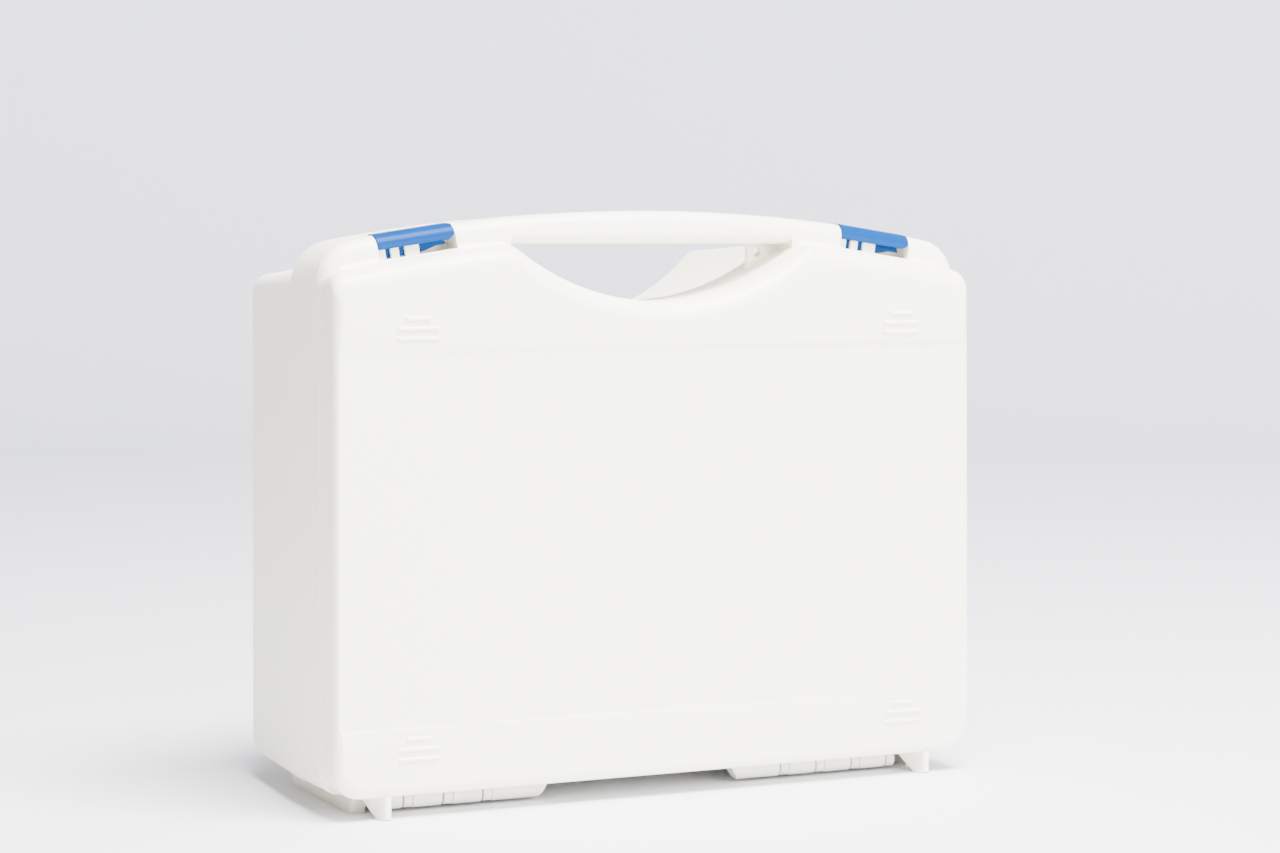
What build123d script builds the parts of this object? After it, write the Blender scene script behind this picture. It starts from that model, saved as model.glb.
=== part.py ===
from build123d import *
from math import acos, asin, cos, degrees, radians, sin, sqrt
import os

# A moulded carry case: two shells hinged at the bottom, a grip moulded half in each,
# and two snap latches on the top ridge. It stands upright on its feet.
# X runs along the width, the front of the lid faces -Y, and Z is up.
# The origin is under the middle of the case, on the surface it stands on.

# overall size
caseWidth = 383.0
caseDepth = 156.6
caseHeight = 316.7
bodyLow = 11.5              # height of the shells' undersides, over the feet
wall = 2.5
halfWidth = caseWidth / 2
past = 1.0                  # how far a cutter runs past what it cuts
nearly = 0.01               # how close a point lies to a surface that it is on

# outline of the shells, seen from the front
topArcRadius = 944.0
topCornerRadius = 22.0
lowCornerRadius = 12.0
hingeGap = 0.3              # between the shells at the parting plane

# depths, each measured back from the front of the lid
lidDepth = 23.5
ridgeSetback = lidDepth - 6.0
gripRear = 54.0
shoulderRear = 68.7

# body of the lid: lower and a little narrower than the rim at its back
ledgeDrop = 14.4            # from the top arc down to the ledge along the lid
rimStep = 1.5               # how far the rim stands out at each side
rimSlope = 3.0              # depth over which the side flares out to the rim
bodyHalf = halfWidth - rimStep
bodyTopRadius = 8.0
bodyLowRadius = 15.0
frontTopRadius = 11.5
frontSideRadius = 5.4
coveRadius = 4.0            # hollow corner between the ledge and the ridge
ridgeRadius = 8.0
gripLowRadius = 4.0         # lower edges of the grip
bandHigh = 32.0
bandEnd = 3.0               # how far the top band reaches into the tips of the opening
edgeBands = 6

# sunk panel and raised bars on the lid's front
panelLow = 46.1
panelHigh = caseHeight - 72.8
panelSink = 1.0
panelSlope = 2.2            # height of the panel's sloped upper and lower edges
barRise = 0.9
barThick = 2.5
barCrest = 0.8
barRoot = 0.5               # how deep the bars reach into the wall
barPitch = 5.2
barCentreX = halfWidth - 47.0
barLong = 23.3
barShort = 14.1
barTopZ = caseHeight - 57.2
barLowZ = 41.4

# hand opening, and the hollow behind the grip
openingHalf = 88.0
openingTop = caseHeight - 18.0
openingDrop = 31.3
openingTipRadius = 7.0
dipHalf = 89.0
dipLow = caseHeight - 60.7
dipDrop = 43.0
dipTipRadius = 7.0
shoulderEdgeRadius = 6.0
gripHalf = 105.0
gripRibPitch = 40.0
gripRib = 2.0
gripCellEnd = 12.0
gripCellInset = 3.0         # the cells stay clear of the grip's rounded edges

# eye for a padlock, at the right end of the opening
eyeX = openingHalf - 15.2
eyeZ = openingTop - 5.0
eyeBore = 5.0
eyeLeft = openingHalf - 21.5
eyeFront = lidDepth + 12.7
eyeThick = 3.6
eyeDeep = 18.0
eyeRoot = 2.0               # how far the eye's plate reaches into the wall beside it
eyeScoop = 399.0            # radius of the plate's hollow lower edge

# tub behind the shoulders
tubWall = 2.7
tubDrop = 13.7
tubRearDrop = 17.7
tubRearHalf = halfWidth - 5.5
tubRearLow = bodyLow + 0.5
tubTopRadius = 9.0
tubCornerRadius = 11.0
tubEdgeRadius = 7.0

# ribs inside the back wall
ribThick = 2.0
ribHigh = 10.0
ribX = 60.0
ribLow = tubRearLow + 14.0
ribTop = dipLow - 12.0

# sealing lip on the base, inside the lid
lipThick = 1.5
lipHigh = 1.8
lipGap = 0.4
lipTop = caseHeight - 76.7
lipShelfThick = 2.0         # flat ring that carries the lip
lipShelfSet = 0.5

# bottom hinge
hingeAxisZ = 6.2
knuckleRadius = 4.5
baseKnuckleRadius = 4.2
pinRadius = 1.5
pinGap = 0.05
knucklePitch = 22.5
baseKnuckle = 4.8
knuckleGap = 0.25
knuckleGroove = 1.4         # wider gap at one side of each base knuckle
knuckleSlack = 0.6          # round the lid's knuckles, in the base
leftFirst = 46.4 - halfWidth
leftCount = 3
leftStart = 28.7 - halfWidth
leftEnd = 129.5 - halfWidth
rightFirst = halfWidth - 112.9
rightCount = 4
rightStart = halfWidth - 146.1
endSlant = 7.0
endReach = 8.0              # size of the block that cuts the slant
pinInset = 8.0
pinEndWall = 1.0            # left at the closed end of the right pin's bore

# feet
railX = halfWidth - 19.5
railWide = 8.0
railRear = caseDepth - 28.0
railFront = lidDepth + 1.0
railFrontLow = lidDepth + 5.5
railLip = 3.0               # height of the upright part of the rail's front end
railRearSlope = 6.0
footX = halfWidth - 30.5
footFrontWide = 3.2
footRearWide = 18.4
footFront = 0.8
footRear = lidDepth - 1.5
footRearLow = lidDepth - 15.8
footRadius = 1.4
footToeRadius = 2.5
footRoot = 1.2              # how far feet and rails reach into the shell's wall

# latches, in a frame that lies along the top arc
latchX = bodyHalf - 50.7
latchLong = 43.4
latchTop = -0.5              # the cover stands a little proud of the arc
latchSkin = 2.2
latchSkirt = 8.1
latchPlate = 1.6
latchPlateLow = latchSkirt - 1.4
latchPinY = lidDepth + 5.0
latchPinDrop = 3.8
latchPinRadius = 1.1
latchBarrel = 3.0
latchCornerRadius = 4.8
latchEndRadius = 1.5
latchGap = 0.45
latchRear = lidDepth + 7.2
pocketDeep = 13.5
pocketTop = 20.0            # the pockets' cutters run this far over the arc
basePocketRear = lidDepth + 10.2
pocketEnd = 3.2
pinEnd = 0.6                # wall left beyond the ends of a latch's pin
keeperFront = ridgeSetback + latchSkin + 0.4
keeperRear = lidDepth - 0.6
keeperTop = latchPlateLow + 0.4
lugSpans = ((-21.5, -17.4), (-14.3, -9.8), (-6.3, 1.6))
lugRoot = 0.5
latchRibSpans = ((-17.1, -14.6), (-9.5, -6.6))
latchRibFront = ridgeSetback + 4.1
latchRibRear = ridgeSetback + 9.0
latchRibTop = 1.4
latchRibDrop = 12.9
webFront = ridgeSetback + 4.6
webThick = 1.4
webStart = 2.0
webTurn = 6.0
webLevel = 12.0
webEnd = 17.5
webTop = 1.4
webDeep = 12.9
webTurnDeep = 12.1
webShallow = 10.5

frontY = -caseDepth / 2 + barRise
partY = frontY + lidDepth
rearY = caseDepth / 2
arcCentreZ = caseHeight - topArcRadius


def depth(distance):
    """Y of a plane that lies a distance behind the front of the lid."""
    return frontY + distance


def facing(y):
    """The plane at y, drawn on as seen from the front."""
    return Plane(origin=(0, y, 0), x_dir=(1, 0, 0), z_dir=(0, -1, 0))


def slab(shape, frontAt, rearAt):
    """A flat shape drawn from the front, made solid between two depths."""
    return extrude(facing(rearAt) * shape, rearAt - frontAt)


def box(x0, x1, y0, y1, z0, z1):
    """A block from its corner values."""
    return Pos((x0 + x1) / 2, (y0 + y1) / 2, (z0 + z1) / 2) * Box(x1 - x0, y1 - y0, z1 - z0)


def area(x0, x1, z0, z1):
    """A flat rectangle from its corner values."""
    return Pos((x0 + x1) / 2, (z0 + z1) / 2) * Rectangle(x1 - x0, z1 - z0)


def roundCorners(shape, low, high):
    """Rounds the two lowest and the two outermost upper corners of an outline."""
    corners = shape.vertices().sort_by(Axis.Y)
    shape = fillet(corners[:2], low)
    corners = shape.vertices().sort_by(Axis.Y)
    return fillet(corners[-2:], high)


def outline(half, arcRadius, low, lowRadius, highRadius):
    """The shell's outline: straight sides and base under a long shallow arc."""
    shape = area(-half, half, low, caseHeight + past) & (Pos(0, arcCentreZ) * Circle(arcRadius))
    return roundCorners(shape, lowRadius, highRadius)


def bowl(half, top, drop, grow):
    """The disc whose lower arc runs from tip to tip at height top and sags by drop."""
    radius = (half * half + drop * drop) / (2 * drop)
    return Pos(0, top - drop + radius) * Circle(radius + grow)


def openingBowl(grow):
    return bowl(openingHalf, openingTop, openingDrop, grow)


def dipBowl(grow):
    return bowl(dipHalf, dipLow + dipDrop, dipDrop, grow)


def notched(shape, disc, tipRadius):
    """An outline with a bowl cut from its top and the two tips rounded."""
    shape = shape - disc
    tips = ShapeList([v for v in shape.vertices() if abs(v.X) < gripHalf])
    return fillet(tips, tipRadius)


def roundInset(radius, distance):
    """How far a rounded edge has drawn in, at a distance behind its front."""
    if distance >= radius:
        return 0.0
    return radius - sqrt(radius ** 2 - (radius - distance) ** 2)


def bodySection(half, top, side, skin):
    """The lid body's outline, its top and sides drawn in."""
    shape = outline(half - skin - side, topArcRadius - ledgeDrop - skin - top, bodyLow + skin + side,
                    bodyLowRadius - skin, bodyTopRadius - skin)
    return notched(shape, openingBowl(skin + top), openingTipRadius + skin)


def lidBody(skin, front, rear):
    """The lid's body, front edges rounded, drawn in by a skin on every side."""
    topRadius = frontTopRadius - skin
    steps = [topRadius * (1 - cos(radians(90 * k / edgeBands))) for k in range(edgeBands + 1)]
    faces = []
    for step in steps:
        side = roundInset(frontSideRadius - skin, step)
        section = bodySection(bodyHalf, roundInset(topRadius, step), side, skin)
        faces.append(facing(front + step) * section)
    return loft(faces, ruled=True) + slab(bodySection(bodyHalf, 0, 0, skin), front + topRadius, rear)


def lidRim(back):
    """The lid's rim: its sides flare out from the body."""
    outer = bodySection(halfWidth, 0, 0, 0)
    flare = loft([facing(depth(ridgeSetback)) * bodySection(bodyHalf, 0, 0, 0),
                  facing(depth(ridgeSetback + rimSlope)) * outer], ruled=True)
    return flare + slab(outer, depth(ridgeSetback + rimSlope), back)


def ledgeCove():
    """The rounded hollow corner where the ledge meets the ridge."""
    steps = [coveRadius * (1 - cos(radians(90 * k / edgeBands))) for k in range(edgeBands + 1)]
    faces = []
    for step in steps:
        section = bodySection(bodyHalf, -roundInset(coveRadius, step), 0, 0)
        faces.append(facing(depth(ridgeSetback - step)) * section)
    cove = loft(faces, ruled=True) & slab(topBand(ridgeRadius, halfWidth), depth(0), depth(ridgeSetback))
    return cove - slab(openingBowl(0), depth(0), depth(ridgeSetback))


def onArc(side):
    """Where a latch sits: its middle on the top arc, turned along it."""
    angle = side * degrees(asin(latchX / topArcRadius))
    return Pos(side * latchX, 0, arcCentreZ + topArcRadius * cos(radians(angle))) * Rot(0, angle, 0)


def topBand(inset, half):
    """The band under the top arc, above the lid's ledge and over the hand opening."""
    band = outline(halfWidth - inset, topArcRadius - inset, bodyLow, lowCornerRadius, topCornerRadius - inset)
    band = band & area(-half, half, bodyLow, caseHeight)
    band = band - Pos(0, arcCentreZ) * Circle(topArcRadius - bandHigh)
    reach = openingHalf - bandEnd
    return band - area(-reach, reach, bodyLow, openingTop + inset * gripLowRadius / ridgeRadius)


def roundedBand(half, fullAt, edgeAt, skin):
    """A top band made solid, its long edges rounded where it ends at edgeAt, as far as it is long."""
    radius = ridgeRadius - skin
    turn = 1 if edgeAt > fullAt else -1
    reach = min(radius, abs(fullAt - edgeAt))
    turned = acos(1 - reach / radius) / edgeBands
    steps = [radius * (1 - cos(k * turned)) for k in range(edgeBands + 1)]
    faces = [facing(edgeAt - turn * step) * topBand(skin + roundInset(radius, step), half) for step in steps]
    band = loft(faces, ruled=True)
    if reach == radius:
        start = edgeAt - turn * radius
        band += slab(topBand(skin, half), min(fullAt, start), max(fullAt, start))
    return band


def gripCells(frontAt, rearAt):
    """Hollow cells inside the grip, between its ribs."""
    reach = openingHalf - gripCellEnd
    band = area(-reach, reach, openingTop + wall, caseHeight)
    band = band & (Pos(0, arcCentreZ) * Circle(topArcRadius - wall))
    for k in (-1, 0, 1):
        middle = k * gripRibPitch
        band = band - area(middle - gripRib / 2, middle + gripRib / 2, openingTop, caseHeight)
    return slab(band, frontAt, rearAt)


def threeBars(side, topZ):
    """Three raised bars with sloped flanks, the upper one short."""
    bars = Part()
    flank = (barThick - barCrest) / 2
    for k, length in enumerate((barShort, barLong, barLong)):
        foundation = Pos(side * barCentreX, topZ - k * barPitch) * Rectangle(length, barThick)
        crest = Pos(side * barCentreX, topZ - k * barPitch) * Rectangle(length - 2 * flank, barCrest)
        bars += loft([facing(frontY) * foundation, facing(frontY - barRise) * crest], ruled=True)
        bars += slab(foundation, frontY, frontY + barRoot)
    return bars


def hingeBar(x0, x1, radius):
    """A round bar on the hinge's axis."""
    return Pos((x0 + x1) / 2, partY, hingeAxisZ) * Rot(0, 90, 0) * Cylinder(radius, x1 - x0)


def knuckle(x0, x1, radius, side):
    """One hinge knuckle with its web up to the shell; side is -1 for the lid and 1 for the base."""
    near = partY + side * hingeGap / 2
    far = partY + side * radius
    web = box(x0, x1, min(near, far), max(near, far), hingeAxisZ, bodyLow + wall / 2)
    return hingeBar(x0, x1, radius) + web


def baseKnuckles():
    """Start and end of each base knuckle."""
    starts = [leftFirst + k * knucklePitch for k in range(leftCount)]
    starts += [rightFirst + k * knucklePitch for k in range(rightCount)]
    return [(x, x + baseKnuckle) for x in starts]


def lidKnuckles():
    """Start and end of each lid knuckle: they fill the spaces between the base's."""
    spans = []
    left = [span for span in baseKnuckles() if span[0] < 0]
    right = [span for span in baseKnuckles() if span[0] > 0]
    edges = [leftStart] + [x for span in left for x in span] + [leftEnd]
    spans += [(edges[k] + knuckleGap, edges[k + 1] - knuckleGroove) for k in range(0, len(edges) - 2, 2)]
    spans += [(edges[-2] + knuckleGap, edges[-1])]
    edges = [rightStart] + [x for span in right for x in span]
    spans += [(edges[k] + knuckleGap, edges[k + 1] - knuckleGroove) for k in range(0, len(edges) - 1, 2)]
    return spans


def slantCutter(x, side):
    """Cuts the inner end of a hinge run to a slant; side points to the middle of the case."""
    low = hingeAxisZ - knuckleRadius - past
    points = [(x, bodyLow), (x - side * endSlant, low), (x + side * endReach, low),
              (x + side * endReach, bodyLow)]
    return slab(make_face(Polyline(*points, close=True)), partY - endReach, partY + endReach)


def foot(side):
    """A lid foot: narrow at the front, wide at the back, its back face slanted to let the lid swing."""
    front = depth(footFront)
    rear = depth(footRear)
    x = side * footX
    plan = [(x - footFrontWide / 2, front), (x + footFrontWide / 2, front),
            (x + footRearWide / 2, rear), (x - footRearWide / 2, rear)]
    block = extrude(make_face(Polyline(*plan, close=True)), bodyLow + footRoot)
    edges = block.edges().filter_by(Axis.Z).sort_by(Axis.Y)[:2]
    block = fillet(edges, footRadius)
    profile = make_face(Polyline((front, 0), (depth(footRearLow), 0), (rear, bodyLow),
                                 (rear, bodyLow + footRoot), (front, bodyLow + footRoot), close=True))
    toe = profile.vertices().sort_by(Axis.X)[:2].sort_by(Axis.Y)[:1]
    profile = fillet(toe, footToeRadius)
    return block & (Pos(x, 0, 0) * extrude(Plane.YZ * profile, footRearWide, both=True))


def rail(side):
    """A base foot rail, its front end slanted."""
    profile = [(depth(railFront), bodyLow + footRoot), (depth(railFront), bodyLow - railLip),
               (depth(railFrontLow), 0), (depth(railRear - railRearSlope), 0), (depth(railRear), bodyLow),
               (depth(railRear), bodyLow + footRoot)]
    bar = extrude(Plane.YZ * make_face(Polyline(*profile, close=True)), railWide)
    return Pos(railX - railWide if side > 0 else -railX, 0, 0) * bar


def latchBlock(frontAt, rearAt, deep):
    """The material left around a latch pocket, in the latch's own frame."""
    half = latchLong / 2 + latchGap + pocketEnd
    return box(-half, half, frontAt, rearAt, -deep, pocketTop)


def latchPocket(frontAt, rearAt):
    """The room for a latch, in the latch's own frame."""
    half = latchLong / 2 + latchGap
    return box(-half, half, frontAt, rearAt, -pocketDeep, pocketTop)


def sunkPanel():
    """Cuts the broad flat panel into the lid's front, its upper and lower edges sloped."""
    rise = past * panelSlope / panelSink
    low = panelLow - rise
    high = panelHigh + rise
    floor = (frontY + panelSink, panelLow + panelSlope), (frontY + panelSink, panelHigh - panelSlope)
    profile = [(frontY - past, low), floor[0], floor[1], (frontY - past, high)]
    return extrude(Plane.YZ * make_face(Polyline(*profile, close=True)), halfWidth + past, both=True)


def keepers():
    """The lugs on the pocket floor, which stand up behind the latch's skirt."""
    lugs = Part()
    for s0, s1 in lugSpans:
        lugs += box(s0, s1, depth(keeperFront), depth(keeperRear), -pocketDeep - lugRoot, -keeperTop)
    return lugs


def makeLid():
    back = partY - hingeGap / 2
    shell = lidBody(0, frontY, back) + lidRim(back) + ledgeCove()
    shell += roundedBand(halfWidth, back, depth(ridgeSetback), 0)
    ends = area(-halfWidth, halfWidth, 0, caseHeight) - area(-gripHalf, gripHalf, 0, caseHeight)
    hollow = lidBody(wall, frontY + panelSink + wall, partY + past)
    ridgeHollow = roundedBand(halfWidth, partY + past, depth(ridgeSetback) + wall, wall)
    hollow += ridgeHollow & slab(ends, depth(0), partY + past)
    for side in (-1, 1):
        hollow -= onArc(side) * latchBlock(depth(0), partY + 2 * past, pocketDeep + wall)
    shell -= hollow
    shell -= sunkPanel()
    shell -= gripCells(depth(ridgeSetback) + wall + gripCellInset, partY + past)
    for side in (-1, 1):
        shell += threeBars(side, barTopZ) + threeBars(side, barLowZ)
        shell += foot(side)
        shell -= onArc(side) * latchPocket(depth(0), partY + past)
        shell += onArc(side) * keepers()
    for x0, x1 in lidKnuckles():
        shell += knuckle(x0, x1, knuckleRadius, -1)
    shell -= hingeBar(leftStart + pinInset - past, leftEnd, pinRadius + pinGap)
    shell -= hingeBar(rightStart, rightFirst + (rightCount - 1) * knucklePitch, pinRadius + pinGap)
    for x0, x1 in baseKnuckles():
        shell -= box(x0 - knuckleGap, x1 + knuckleGap, partY - knuckleRadius - past, partY + past, 0, bodyLow)
    shell -= slantCutter(leftEnd, 1)
    shell -= slantCutter(rightStart, -1)
    return shell


def tubSection(distance, skin):
    """The tub's outline at a distance behind the lid's front, drawn in by a skin."""
    along = max(0, (distance - shoulderRear) / (caseDepth - shoulderRear - barRise))
    left = caseDepth - barRise - skin - distance
    inset = skin + roundInset(tubEdgeRadius - skin, left)
    half = halfWidth + along * (tubRearHalf - halfWidth) - inset
    low = bodyLow + along * (tubRearLow - bodyLow) + inset
    drop = tubDrop + along * (tubRearDrop - tubDrop) + inset
    shape = outline(half, topArcRadius - drop, low, tubCornerRadius - skin, tubTopRadius - skin)
    return notched(shape, dipBowl(inset), dipTipRadius + skin)


def tub(skin):
    """The tub as a solid, with its rear edges rounded."""
    rear = caseDepth - barRise - skin
    radius = tubEdgeRadius - skin
    stops = [shoulderRear - wall - skin, shoulderRear, rear - radius]
    stops += [rear - radius * (1 - sin(radians(90 * k / edgeBands))) for k in range(1, edgeBands + 1)]
    return loft([facing(depth(stop)) * tubSection(stop, skin) for stop in stops], ruled=True)


def shoulders(front):
    """The full-height part of the base: open above the hand opening, notched behind the grip."""
    full = outline(halfWidth, topArcRadius, bodyLow, lowCornerRadius, topCornerRadius)
    block = slab(full - openingBowl(0), front, depth(gripRear))
    block += slab(full - dipBowl(0), front, depth(shoulderRear - shoulderEdgeRadius))
    steps = [shoulderEdgeRadius * sin(radians(90 * k / edgeBands)) for k in range(edgeBands + 1)]
    faces = []
    for step in steps:
        inset = roundInset(shoulderEdgeRadius, shoulderEdgeRadius - step)
        shape = outline(halfWidth, topArcRadius - inset, bodyLow, lowCornerRadius, topCornerRadius)
        faces.append(facing(depth(shoulderRear - shoulderEdgeRadius + step)) * (shape - dipBowl(inset)))
    return block + loft(faces, ruled=True)


def lipRing(outerInset, frontAt, rearAt):
    """A ring inside the shells' walls, open at the top, between two depths."""
    inset = wall + lipGap + lipThick
    ring = outline(bodyHalf - outerInset, topArcRadius, bodyLow + outerInset, bodyLowRadius - wall,
                   topCornerRadius - wall)
    ring -= outline(bodyHalf - inset, topArcRadius, bodyLow + inset, bodyLowRadius - inset,
                    topCornerRadius - inset)
    return slab(ring & area(-halfWidth, halfWidth, 0, lipTop), frontAt, rearAt)


def backRib(x):
    """An upright rib inside the back wall."""
    plate = area(x - ribThick / 2, x + ribThick / 2, ribLow, ribTop)
    return slab(plate, rearY - wall - ribHigh, rearY - wall / 2)


def eyePlate():
    """The plate with the padlock's hole, at the right end of the opening."""
    plate = area(eyeLeft, openingHalf + eyeRoot, openingTop - eyeDeep, openingTop + past)
    plate = plate - Pos(eyeX, eyeZ) * Circle(eyeBore / 2)
    plate = plate - Pos(0, openingTop - openingDrop - past - eyeScoop) * Circle(eyeScoop)
    return slab(plate, depth(eyeFront), depth(eyeFront + eyeThick))


def makeBase():
    front = partY + hingeGap / 2
    shell = shoulders(front) + roundedBand(gripHalf, front, depth(gripRear), 0) + tub(0)
    inner = outline(halfWidth - wall, topArcRadius - wall, bodyLow + wall, lowCornerRadius - wall,
                    topCornerRadius - wall)
    hollow = slab(inner - openingBowl(wall), partY - past, depth(gripRear) - wall)
    hollow += slab(inner - dipBowl(wall), depth(gripRear) - wall - past, depth(shoulderRear) - wall)
    hollow += tub(tubWall)
    for side in (-1, 1):
        hollow -= onArc(side) * latchBlock(partY - 2 * past, depth(basePocketRear) + wall, pocketDeep + wall)
    shell -= hollow
    shell -= gripCells(partY - past, depth(gripRear) - wall - gripCellInset)
    for side in (-1, 1):
        shell -= onArc(side) * latchPocket(partY - past, depth(basePocketRear))
        shell -= onArc(side) * latchPin(0)
        shell += rail(side) + backRib(side * ribX)
    for x0, x1 in baseKnuckles():
        shell += knuckle(x0, x1, baseKnuckleRadius, 1)
    shell -= hingeBar(leftStart, leftEnd, pinRadius)
    shell -= hingeBar(rightStart, rightFirst + rightCount * knucklePitch, pinRadius)
    for x0, x1 in lidKnuckles():
        rear = partY + knuckleRadius + knuckleSlack
        shell -= box(x0 - knuckleGap, x1 + knuckleGap, partY - past, rear, 0, bodyLow)
    shell += lipRing(wall + lipGap, partY - lipHigh, front + lipShelfSet + lipShelfThick)
    shell += lipRing(lipShelfSet, front + lipShelfSet, front + lipShelfSet + lipShelfThick)
    return shell + eyePlate()


def latchPin(grow):
    """The pin through a latch, in the latch's own frame."""
    half = latchLong / 2 + latchGap + pocketEnd - pinEnd
    return Pos(0, depth(latchPinY), -latchPinDrop) * Rot(0, 90, 0) * Cylinder(latchPinRadius + grow, 2 * half)


def onOutside(edge):
    """Whether an edge of the cover's profile lies on its outer surface, ahead of the rear end."""
    middle = edge @ 0.5
    top = abs(middle.Z + latchTop) < nearly
    front = abs(middle.Y - depth(ridgeSetback)) < nearly
    centreY = depth(ridgeSetback) + ridgeRadius
    centreZ = -latchTop - ridgeRadius
    away = sqrt((middle.Y - centreY) ** 2 + (middle.Z - centreZ) ** 2)
    return top or front or abs(away - ridgeRadius) < nearly


def makeLatch():
    """A latch in its own frame: a thin curved cover, its barrel, end plates and ribs."""
    half = latchLong / 2
    outer = area(depth(ridgeSetback), depth(latchRear), -latchSkirt, -latchTop)
    corner = outer.vertices().sort_by(Axis.X)[:2].sort_by(Axis.Y)[-1:]
    outer = fillet(corner, ridgeRadius)
    inner = area(depth(ridgeSetback) + latchSkin, depth(latchRear) + past, -latchSkirt - past,
                 -latchTop - latchSkin)
    corner = inner.vertices().sort_by(Axis.X)[:2].sort_by(Axis.Y)[-1:]
    inner = fillet(corner, ridgeRadius - latchSkin)
    latch = extrude(Plane.YZ * (outer - inner), half, both=True)
    endFace = latch.faces().sort_by(Axis.X)[-1]
    rim = [e for e in endFace.edges() if e.center().Y < depth(latchPinY) and onOutside(e)]
    latch = fillet(rim, latchEndRadius)
    plate = extrude(Plane.YZ * (outer & area(depth(0), depth(latchPinY), -latchPlateLow, 0)), latchPlate)
    latch += Pos(-half, 0, 0) * plate
    latch += Pos(half - latchPlate, 0, 0) * plate
    latch += Pos(0, depth(latchPinY), -latchPinDrop) * Rot(0, 90, 0) * Cylinder(latchBarrel, 2 * half)
    for s0, s1 in latchRibSpans:
        latch += box(s0, s1, depth(latchRibFront), depth(latchRibRear), -latchRibDrop, -latchRibTop)
    web = [(webStart, -webDeep), (webTurn, -webTurnDeep), (webLevel, -webShallow), (webEnd, -webShallow),
           (webEnd, -webTop), (webStart, -webTop)]
    latch += slab(make_face(Polyline(*web, close=True)), depth(webFront), depth(webFront + webThick))
    cut = area(half - latchCornerRadius, half + past, -latchSkirt - past, -latchSkirt + latchCornerRadius)
    cut = cut - Pos(half - latchCornerRadius, -latchSkirt + latchCornerRadius) * Circle(latchCornerRadius)
    latch -= slab(cut, depth(0), depth(latchPinY - latchBarrel - past))
    latch -= latchPin(pinGap)
    return latch


latch = makeLatch()
pin = latchPin(0)
rightPinEnd = rightFirst + (rightCount - 1) * knucklePitch + baseKnuckle - pinEndWall
nodes = {
    "base_shell": makeBase(),
    "lid_shell": makeLid(),
    "latch_left": onArc(-1) * latch,
    "latch_right": onArc(1) * latch,
    "latch_pin_left": onArc(-1) * pin,
    "latch_pin_right": onArc(1) * pin,
    "hinge_pin_left": hingeBar(leftStart + pinInset, leftEnd - pinInset, pinRadius),
    "hinge_pin_right": hingeBar(rightStart + pinInset, rightPinEnd, pinRadius),
}

os.makedirs("parts", exist_ok=True)
for name, shape in nodes.items():
    solids = shape.solids()
    size = shape.bounding_box()
    print(name, "solids", len(solids), "volume", round(shape.volume))
    print("   from", [round(v, 2) for v in size.min], "to", [round(v, 2) for v in size.max])
    shape.label = name
    export_step(shape, f"parts/{name}.step")
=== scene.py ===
import math

import bmesh
import bpy
from mathutils import Matrix, Vector


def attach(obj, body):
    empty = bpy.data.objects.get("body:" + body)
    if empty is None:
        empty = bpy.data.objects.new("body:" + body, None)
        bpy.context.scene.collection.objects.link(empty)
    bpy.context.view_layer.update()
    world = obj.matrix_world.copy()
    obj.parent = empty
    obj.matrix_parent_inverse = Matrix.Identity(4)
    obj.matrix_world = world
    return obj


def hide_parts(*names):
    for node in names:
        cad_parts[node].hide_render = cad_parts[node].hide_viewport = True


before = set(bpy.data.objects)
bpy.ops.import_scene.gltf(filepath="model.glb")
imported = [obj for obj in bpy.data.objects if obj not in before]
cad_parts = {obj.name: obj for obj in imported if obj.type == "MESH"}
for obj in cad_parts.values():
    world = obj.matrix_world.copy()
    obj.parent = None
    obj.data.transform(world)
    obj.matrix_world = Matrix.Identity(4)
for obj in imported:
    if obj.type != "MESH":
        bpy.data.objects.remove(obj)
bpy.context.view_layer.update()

mm = 0.001


def linearColour(hexValue):
    # sRGB hex text to the linear values that shaders take
    channels = [int(hexValue[k:k + 2], 16) / 255 for k in (1, 3, 5)]
    return tuple(c / 12.92 if c <= 0.04045 else ((c + 0.055) / 1.055) ** 2.4 for c in channels) + (1.0,)


def addNode(tree, kind, settings=None, links=None):
    # one node with its settings, sockets set by name, and what feeds its inputs
    node = tree.nodes.new(kind)
    for key, value in (settings or {}).items():
        if key in node.inputs:
            node.inputs[key].default_value = value
        else:
            setattr(node, key, value)
    for key, source in (links or {}).items():
        tree.links.new(source, node.inputs[key])
    return node


# Camera: worked out from the case's edges in the photograph, nearly level, 82.6 mm lens
view = {
    "place": (-0.6882, -1.5077, 0.2918),
    "turn": -25.137,
    "tiltUp": 0.125,
    "roll": -0.114,
    "lens": 82.62,
    "sensor": 36,
    "shiftDown": -0.138,
}


def makeCamera():
    data = bpy.data.cameras.new("photoCamera")
    data.lens = view["lens"]
    data.sensor_width = view["sensor"]
    data.shift_y = view["shiftDown"]
    data.dof.use_dof = False
    camera = bpy.data.objects.new("photoCamera", data)
    camera.location = view["place"]
    turned = Matrix.Rotation(math.radians(view["turn"]), 4, "Z") \
        @ Matrix.Rotation(math.radians(90 + view["tiltUp"]), 4, "X") \
        @ Matrix.Rotation(math.radians(view["roll"]), 4, "Z")
    camera.rotation_euler = turned.to_euler()
    bpy.context.scene.collection.objects.link(camera)
    bpy.context.scene.camera = camera


makeCamera()
print("camera placed")


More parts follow.
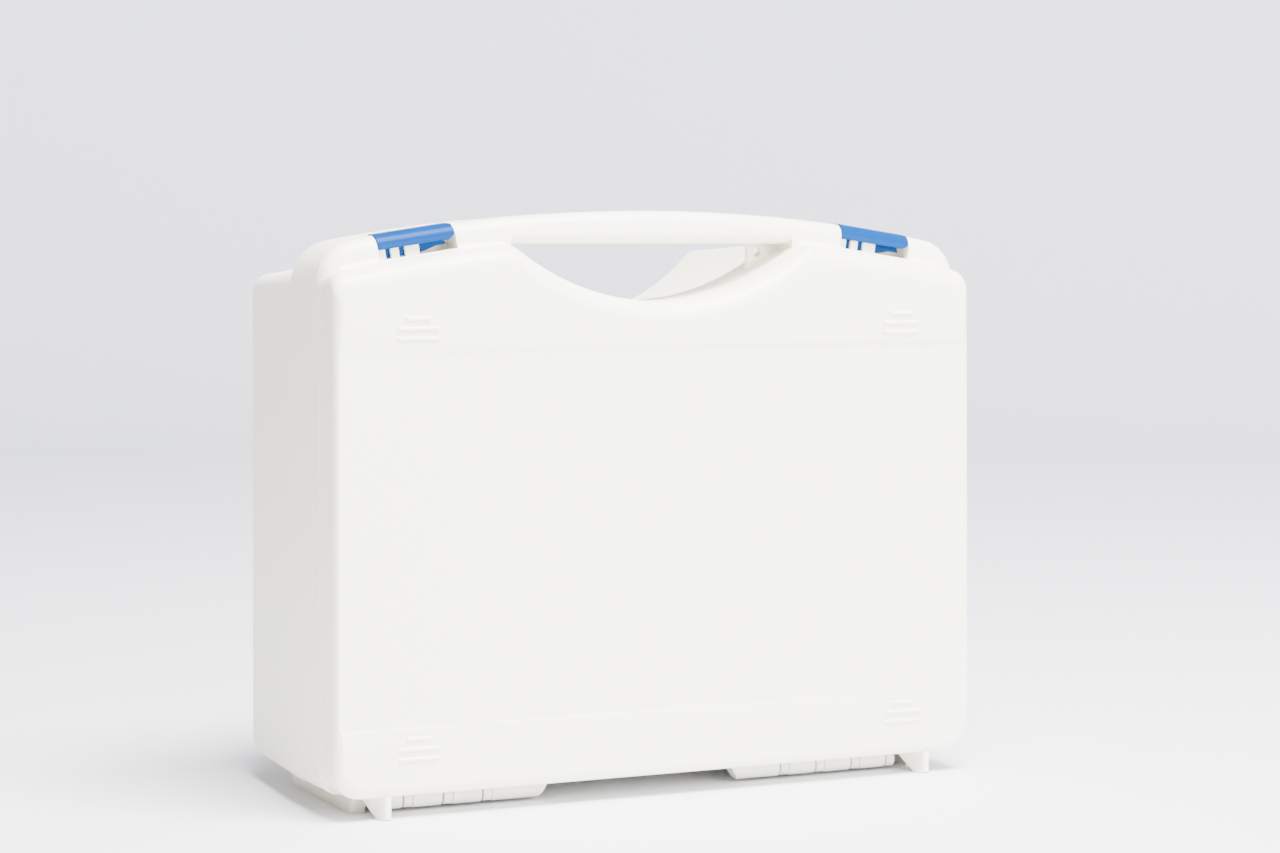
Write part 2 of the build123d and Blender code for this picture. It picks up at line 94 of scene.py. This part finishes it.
# Moulded white polypropylene: spark-eroded tool, so a faint even grain and a soft satin gloss,
# and a little light that goes into the plastic
whitePlastic = {
    "colour": "#F8F4E3",
    "roughness": 0.38,
    "roughnessSpread": 0.05,
    "ior": 1.49,
    "glow": 0.12,         # share of the light that goes into the plastic
    "glowReach": 2.0,     # mm it travels there
    "glowTint": (1.0, 0.95, 0.85),
    "grain": 0.45,        # mm between the tool's pits
    "grainDepth": 0.012,  # mm
    "grainDetail": 2.0,
    "grainBreak": 0.55,   # how much of the finer pits shows
    "flow": 60.0,         # mm across the broad, faint waves that sink marks leave
    "flowDepth": 0.05,    # mm
}


def whitePolypropylene():
    material = bpy.data.materials.new("whitePolypropylene")
    material.use_nodes = True
    tree = material.node_tree
    shader = tree.nodes["Principled BSDF"]
    shader.inputs["Base Color"].default_value = linearColour(whitePlastic["colour"])
    shader.inputs["IOR"].default_value = whitePlastic["ior"]
    shader.inputs["Subsurface Weight"].default_value = whitePlastic["glow"]
    shader.inputs["Subsurface Radius"].default_value = whitePlastic["glowTint"]
    shader.inputs["Subsurface Scale"].default_value = whitePlastic["glowReach"] * mm
    place = addNode(tree, "ShaderNodeTexCoord")
    grain = addNode(tree, "ShaderNodeTexNoise",
                    {"Scale": 1000 / whitePlastic["grain"], "Detail": whitePlastic["grainDetail"],
                     "Roughness": whitePlastic["grainBreak"]},
                    {"Vector": place.outputs["Object"]})
    flow = addNode(tree, "ShaderNodeTexNoise", {"Scale": 1000 / whitePlastic["flow"], "Detail": 1.0},
                   {"Vector": place.outputs["Object"]})
    low = whitePlastic["roughness"] - whitePlastic["roughnessSpread"]
    high = whitePlastic["roughness"] + whitePlastic["roughnessSpread"]
    spread = addNode(tree, "ShaderNodeMapRange", {"To Min": low, "To Max": high},
                     {"Value": grain.outputs["Fac"]})
    tree.links.new(spread.outputs["Result"], shader.inputs["Roughness"])
    broad = addNode(tree, "ShaderNodeBump", {"Strength": 1.0, "Distance": whitePlastic["flowDepth"] * mm},
                    {"Height": flow.outputs["Fac"]})
    fine = addNode(tree, "ShaderNodeBump", {"Strength": 1.0, "Distance": whitePlastic["grainDepth"] * mm},
                   {"Height": grain.outputs["Fac"], "Normal": broad.outputs["Normal"]})
    tree.links.new(fine.outputs["Normal"], shader.inputs["Normal"])
    return material


# Blue polypropylene from a polished tool: clean colour, broad soft highlights
bluePlastic = {
    "deep": "#003268",
    "light": "#003670",
    "roughness": 0.24,
    "ior": 1.32,
    "gloss": 0.1,         # level of the clear reflection
    "ripple": 14.0,       # mm across the slight waves of the surface
    "rippleDepth": 0.03,  # mm
}


def bluePolypropylene():
    material = bpy.data.materials.new("bluePolypropylene")
    material.use_nodes = True
    tree = material.node_tree
    shader = tree.nodes["Principled BSDF"]
    shader.inputs["IOR"].default_value = bluePlastic["ior"]
    shader.inputs["Roughness"].default_value = bluePlastic["roughness"]
    shader.inputs["Specular IOR Level"].default_value = bluePlastic["gloss"]
    place = addNode(tree, "ShaderNodeTexCoord")
    ripple = addNode(tree, "ShaderNodeTexNoise", {"Scale": 1000 / bluePlastic["ripple"], "Detail": 1.0},
                     {"Vector": place.outputs["Object"]})
    tint = addNode(tree, "ShaderNodeMix", {"data_type": "RGBA"}, {"Factor": ripple.outputs["Fac"]})
    tint.inputs[6].default_value = linearColour(bluePlastic["deep"])   # the two colour sockets of the mix
    tint.inputs[7].default_value = linearColour(bluePlastic["light"])
    tree.links.new(tint.outputs[2], shader.inputs["Base Color"])
    bump = addNode(tree, "ShaderNodeBump", {"Strength": 1.0, "Distance": bluePlastic["rippleDepth"] * mm},
                   {"Height": ripple.outputs["Fac"]})
    tree.links.new(bump.outputs["Normal"], shader.inputs["Normal"])
    return material


# Drawn steel wire: bright, with fine lines along the pin
steelWire = {
    "colour": "#C4C4C6",
    "smoothest": 0.2,
    "roughest": 0.36,
    "lines": 0.3,         # mm across the drawing lines
    "stretch": 0.05,      # their scale along the pin
    "lineDetail": 2.0,
}


def drawnSteel():
    material = bpy.data.materials.new("drawnSteelWire")
    material.use_nodes = True
    tree = material.node_tree
    shader = tree.nodes["Principled BSDF"]
    shader.inputs["Base Color"].default_value = linearColour(steelWire["colour"])
    shader.inputs["Metallic"].default_value = 1.0
    place = addNode(tree, "ShaderNodeTexCoord")
    stretched = addNode(tree, "ShaderNodeMapping", {"Scale": (steelWire["stretch"], 1.0, 1.0)},
                        {"Vector": place.outputs["Object"]})
    lines = addNode(tree, "ShaderNodeTexNoise",
                    {"Scale": 1000 / steelWire["lines"], "Detail": steelWire["lineDetail"]},
                    {"Vector": stretched.outputs["Vector"]})
    spread = addNode(tree, "ShaderNodeMapRange",
                     {"To Min": steelWire["smoothest"], "To Max": steelWire["roughest"]},
                     {"Value": lines.outputs["Fac"]})
    tree.links.new(spread.outputs["Result"], shader.inputs["Roughness"])
    return material


white = whitePolypropylene()
blue = bluePolypropylene()
steel = drawnSteel()
print("materials made")

# Shells and latches: the moulded shapes with a thin bevel along every crease, which the bevel's
# clamp holds to a hairline wherever a very short edge meets it
mouldedPieces = {
    "joinWithin": 0.004,   # mm, closes the loose triangles
    "flatWithin": 0.6,     # degrees, joins flat neighbours into one face
    "edgeSoft": 0.35,      # mm, the most that a bevel takes
    "latchEdgeSoft": 0.3,  # mm, the same on a latch
    "creaseFrom": 28.0,    # degrees
    "edgeSteps": 2,
}


def softenedCopy(nodeName, pieceName, material, body, edge):
    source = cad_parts[nodeName]
    mesh = source.data.copy()
    mesh.name = pieceName
    shape = bmesh.new()
    shape.from_mesh(mesh)
    bmesh.ops.remove_doubles(shape, verts=shape.verts[:], dist=mouldedPieces["joinWithin"] * mm)
    bmesh.ops.dissolve_limit(shape, angle_limit=math.radians(mouldedPieces["flatWithin"]),
                             verts=shape.verts[:], edges=shape.edges[:])
    shape.to_mesh(mesh)
    shape.free()
    mesh.materials.clear()
    mesh.materials.append(material)
    for face in mesh.polygons:
        face.use_smooth = True
    piece = bpy.data.objects.new(pieceName, mesh)
    bpy.context.scene.collection.objects.link(piece)
    soft = piece.modifiers.new("softEdges", "BEVEL")
    soft.limit_method = "ANGLE"
    soft.angle_limit = math.radians(mouldedPieces["creaseFrom"])
    soft.width = edge * mm
    soft.segments = mouldedPieces["edgeSteps"]
    soft.use_clamp_overlap = True
    soft.harden_normals = False
    even = piece.modifiers.new("evenShading", "WEIGHTED_NORMAL")
    even.keep_sharp = True
    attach(piece, body)
    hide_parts(nodeName)
    return piece


softenedCopy("base_shell", "baseMoulding", white, "base", mouldedPieces["edgeSoft"])
softenedCopy("lid_shell", "lidMoulding", white, "lid", mouldedPieces["edgeSoft"])
print("shells made")
softenedCopy("latch_left", "leftLatch", blue, "left_latch", mouldedPieces["latchEdgeSoft"])
softenedCopy("latch_right", "rightLatch", blue, "right_latch", mouldedPieces["latchEdgeSoft"])
print("latches made")

for name in ("latch_pin_left", "latch_pin_right", "hinge_pin_left", "hinge_pin_right"):
    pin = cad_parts[name]
    pin.data.materials.clear()
    pin.data.materials.append(steel)
print("pins finished")

# Studio: a pale round floor that sweeps up into a wall, open to a soft sky, big soft lamps,
# and a dark flag beside the case that keeps its left side in soft shade, unseen by the camera
studio = {
    "floorColour": "#E3E4EA",
    "floorRoughness": 0.9,
    "flatRadius": 2.9,
    "sweepRadius": 0.7,
    "wallHeight": 2.6,
    "sweepSteps": 10,
    "turnSteps": 72,
    "joinWithin": 0.0001,
    "skyStrength": 0.25,
    "flagColour": "#38332B",
    "flagRoughness": 0.95,
    "flagX": -1.05,
    "flagSpan": (-0.9, 1.3),
    "flagHigh": 1.5,
}


def mattePaint(name, colour, roughness):
    material = bpy.data.materials.new(name)
    material.use_nodes = True
    shader = material.node_tree.nodes["Principled BSDF"]
    shader.inputs["Base Color"].default_value = linearColour(colour)
    shader.inputs["Roughness"].default_value = roughness
    return material


def makeFlag():
    shape = bmesh.new()
    near, far = studio["flagSpan"]
    corners = [(near, 0.0), (far, 0.0), (far, studio["flagHigh"]), (near, studio["flagHigh"])]
    shape.faces.new([shape.verts.new((studio["flagX"], y, z)) for y, z in corners])
    mesh = bpy.data.meshes.new("sideFlag")
    shape.to_mesh(mesh)
    shape.free()
    flag = bpy.data.objects.new("sideFlag", mesh)
    bpy.context.scene.collection.objects.link(flag)
    mesh.materials.append(mattePaint("darkCloth", studio["flagColour"], studio["flagRoughness"]))
    flag.visible_camera = False


def makeStudio():
    shape = bmesh.new()
    flat = studio["flatRadius"]
    sweep = studio["sweepRadius"]
    outline = [shape.verts.new((0, 0, 0)), shape.verts.new((flat, 0, 0))]
    for k in range(1, studio["sweepSteps"] + 1):
        angle = math.radians(90 * k / studio["sweepSteps"])
        outline.append(shape.verts.new((flat + sweep * math.sin(angle), 0, sweep * (1 - math.cos(angle)))))
    outline.append(shape.verts.new((flat + sweep, 0, studio["wallHeight"])))
    edges = [shape.edges.new(pair) for pair in zip(outline, outline[1:])]
    bmesh.ops.spin(shape, geom=outline + edges, cent=(0, 0, 0), axis=(0, 0, 1), angle=math.radians(360),
                   steps=studio["turnSteps"], use_merge=True)
    bmesh.ops.remove_doubles(shape, verts=shape.verts[:], dist=studio["joinWithin"])
    mesh = bpy.data.meshes.new("studioFloor")
    shape.to_mesh(mesh)
    shape.free()
    for face in mesh.polygons:
        face.use_smooth = True
    floor = bpy.data.objects.new("studioFloor", mesh)
    bpy.context.scene.collection.objects.link(floor)
    mesh.materials.append(mattePaint("mattePaper", studio["floorColour"], studio["floorRoughness"]))
    makeFlag()
    world = bpy.data.worlds.new("softSky")
    world.use_nodes = True
    world.node_tree.nodes["Background"].inputs["Color"].default_value = (1, 1, 1, 1)
    world.node_tree.nodes["Background"].inputs["Strength"].default_value = studio["skyStrength"]
    bpy.context.scene.world = world


softboxes = {
    "topSoftbox": {"place": (0.15, -0.9, 2.3), "target": (0, 0, 0.15), "size": (1.6, 1.2), "power": 430},
    "frontSoftbox": {"place": (1.1, -2.4, 0.9), "target": (0, 0, 0.15), "size": (1.8, 1.2), "power": 105},
    "wallSoftbox": {"place": (1.6, 0.9, 2.3), "target": (1.9, 3.6, 1.3), "size": (1.4, 0.8), "power": 70},
}


def softLamp(name, place, target, size, power):
    data = bpy.data.lights.new(name, "AREA")
    data.shape = "RECTANGLE"
    data.size, data.size_y = size
    data.energy = power
    lamp = bpy.data.objects.new(name, data)
    lamp.location = place
    lamp.rotation_euler = (Vector(target) - Vector(place)).to_track_quat("-Z", "Y").to_euler()
    lamp.visible_camera = False
    bpy.context.scene.collection.objects.link(lamp)


makeStudio()
for lampName, lampValues in softboxes.items():
    softLamp(lampName, **lampValues)
print("studio made")
